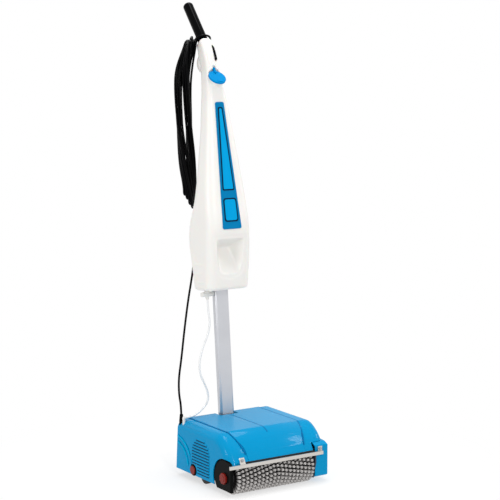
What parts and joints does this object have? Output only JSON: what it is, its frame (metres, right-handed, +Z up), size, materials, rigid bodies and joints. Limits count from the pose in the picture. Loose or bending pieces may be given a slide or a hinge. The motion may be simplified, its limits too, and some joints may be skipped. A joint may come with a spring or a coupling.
{
  "type": "floor scrubber",
  "caption": "Upright floor scrubber: a cylindrical brush under a low blue hood, a tilting column with a solution tank, grip, trigger, hose and a hanging mains lead.",
  "frame": {"origin": "on the floor, under the middle of the machine's outer box with the handle upright", "axes": "+Z up, -Y the front where the brush is, X along the brush axis with the belt cover at +X"},
  "size_m": [0.338, 0.4963, 1.3599],
  "materials": {
    "cover_blue": "satin",
    "tank_white": "satin",
    "label_blue": "gloss",
    "window_blue": "gloss",
    "cap_blue": "gloss",
    "black_plastic": "matte",
    "black_rubber": "matte",
    "red_plastic": "satin",
    "column_metal": "satin anodised",
    "bar_steel": "satin",
    "steel": "satin",
    "chassis_paint": "satin",
    "motor_paint": "matte",
    "bristle": "matte",
    "core": "matte",
    "wheel_grey": "matte",
    "tyre": "matte",
    "fitting_white": "satin",
    "hose_clear": "translucent",
    "cord_black": "satin",
    "brass": "satin"
  },
  "bodies": {
    "base": {"brush_bearing": "steel", "drive_belt": "black_rubber", "motor_body": "motor_paint", "motor_flange": "motor_paint", "motor_screws": "steel", "chassis": "chassis_paint", "brush_tunnel": "black_plastic", "brush_end_plate": "black_plastic", "brush_bush": "brass", "belt_cover": "cover_blue", "hood": "cover_blue", "left_side_cover": "cover_blue", "right_side_cover": "cover_blue", "guard_bar": "bar_steel", "guard_screws": "steel", "splash_strip": "black_rubber", "rear_axle": "steel", "axle_bush": "black_plastic", "axle_cap": "red_plastic", "axle_clips": "steel", "small_fork_left": "steel", "small_fork_right": "steel", "wheel_pins": "steel", "pivot_bracket": "chassis_paint", "pivot_pin": "steel", "pivot_washers": "fitting_white", "cable_gland": "black_rubber", "hose_elbow": "fitting_white"},
    "brush": {"brush_core": "core", "brush_bristles": "bristle", "brush_stub": "steel", "brush_drive_shaft": "steel", "brush_pulley": "core"},
    "motor_rotor": {"motor_shaft": "steel", "motor_pulley": "core"},
    "knob": {"brush_knob": "red_plastic"},
    "rear_wheel_left": {"rear_hub_left": "wheel_grey", "rear_tyre_left": "tyre"},
    "rear_wheel_right": {"rear_hub_right": "wheel_grey", "rear_tyre_right": "tyre"},
    "front_wheel_left": {"small_wheel_left": "tyre"},
    "front_wheel_right": {"small_wheel_right": "tyre"},
    "handle": {"column_foot": "black_plastic", "handle_column": "column_metal", "solution_tank": "tank_white", "label_panel": "label_blue", "label_window_upper": "window_blue", "label_window_lower": "window_blue", "cap_pin": "steel", "trigger_pin": "steel", "grip_tube": "steel", "grip": "black_rubber", "tank_valve": "fitting_white", "mains_cord_run": "cord_black", "mains_cord_hank": "cord_black", "mains_cord_tail": "cord_black", "mains_plug": "cord_black", "solution_hose": "hose_clear"},
    "cap": {"filler_cap": "cap_blue"},
    "trigger": {"trigger": "black_plastic"}
  },
  "joints": [
    {"name": "handle_tilt", "type": "hinge", "parent": "base", "child": "handle", "pos_m": [-0.005, 0.02859, 0.13164], "axis": [-1, 0, 0], "range_deg": [0, 55], "deforming": ["mains_cord_run", "solution_hose"]},
    {"name": "brush_spin", "type": "hinge", "parent": "base", "child": "brush", "pos_m": [-0.014, -0.2005, 0.048], "axis": [1, 0, 0], "continuous": true},
    {"name": "motor_spin", "type": "hinge", "parent": "base", "child": "motor_rotor", "pos_m": [-0.005, -0.0925, 0.1], "axis": [1, 0, 0], "continuous": true},
    {"name": "brush_knob_turn", "type": "hinge", "parent": "base", "child": "knob", "pos_m": [-0.16, -0.2005, 0.048], "axis": [-1, 0, 0], "range_deg": [0, 90]},
    {"name": "rear_wheel_left_spin", "type": "hinge", "parent": "base", "child": "rear_wheel_left", "pos_m": [-0.115, -0.0405, 0.035], "axis": [1, 0, 0], "continuous": true},
    {"name": "rear_wheel_right_spin", "type": "hinge", "parent": "base", "child": "rear_wheel_right", "pos_m": [0.087, -0.0405, 0.035], "axis": [1, 0, 0], "continuous": true},
    {"name": "front_wheel_left_spin", "type": "hinge", "parent": "base", "child": "front_wheel_left", "pos_m": [-0.138, -0.0745, 0.021], "axis": [1, 0, 0], "continuous": true},
    {"name": "front_wheel_right_spin", "type": "hinge", "parent": "base", "child": "front_wheel_right", "pos_m": [0.11, -0.0745, 0.021], "axis": [1, 0, 0], "continuous": true},
    {"name": "cap_open", "type": "hinge", "parent": "handle", "child": "cap", "pos_m": [-0.005, 0.09607, 1.16784], "axis": [-1, 0, 0], "range_deg": [0, 60]},
    {"name": "trigger_squeeze", "type": "hinge", "parent": "handle", "child": "trigger", "pos_m": [0.005, 0.1193, 1.2259], "axis": [1, 0, 0], "range_deg": [0, 6], "stiffness_Nm_per_rad": 0.4, "springref_deg": -5.73}
  ],
  "couplings": [
    {"joint": "motor_spin", "follows": "brush_spin", "ratio": 2.25}
  ]
}
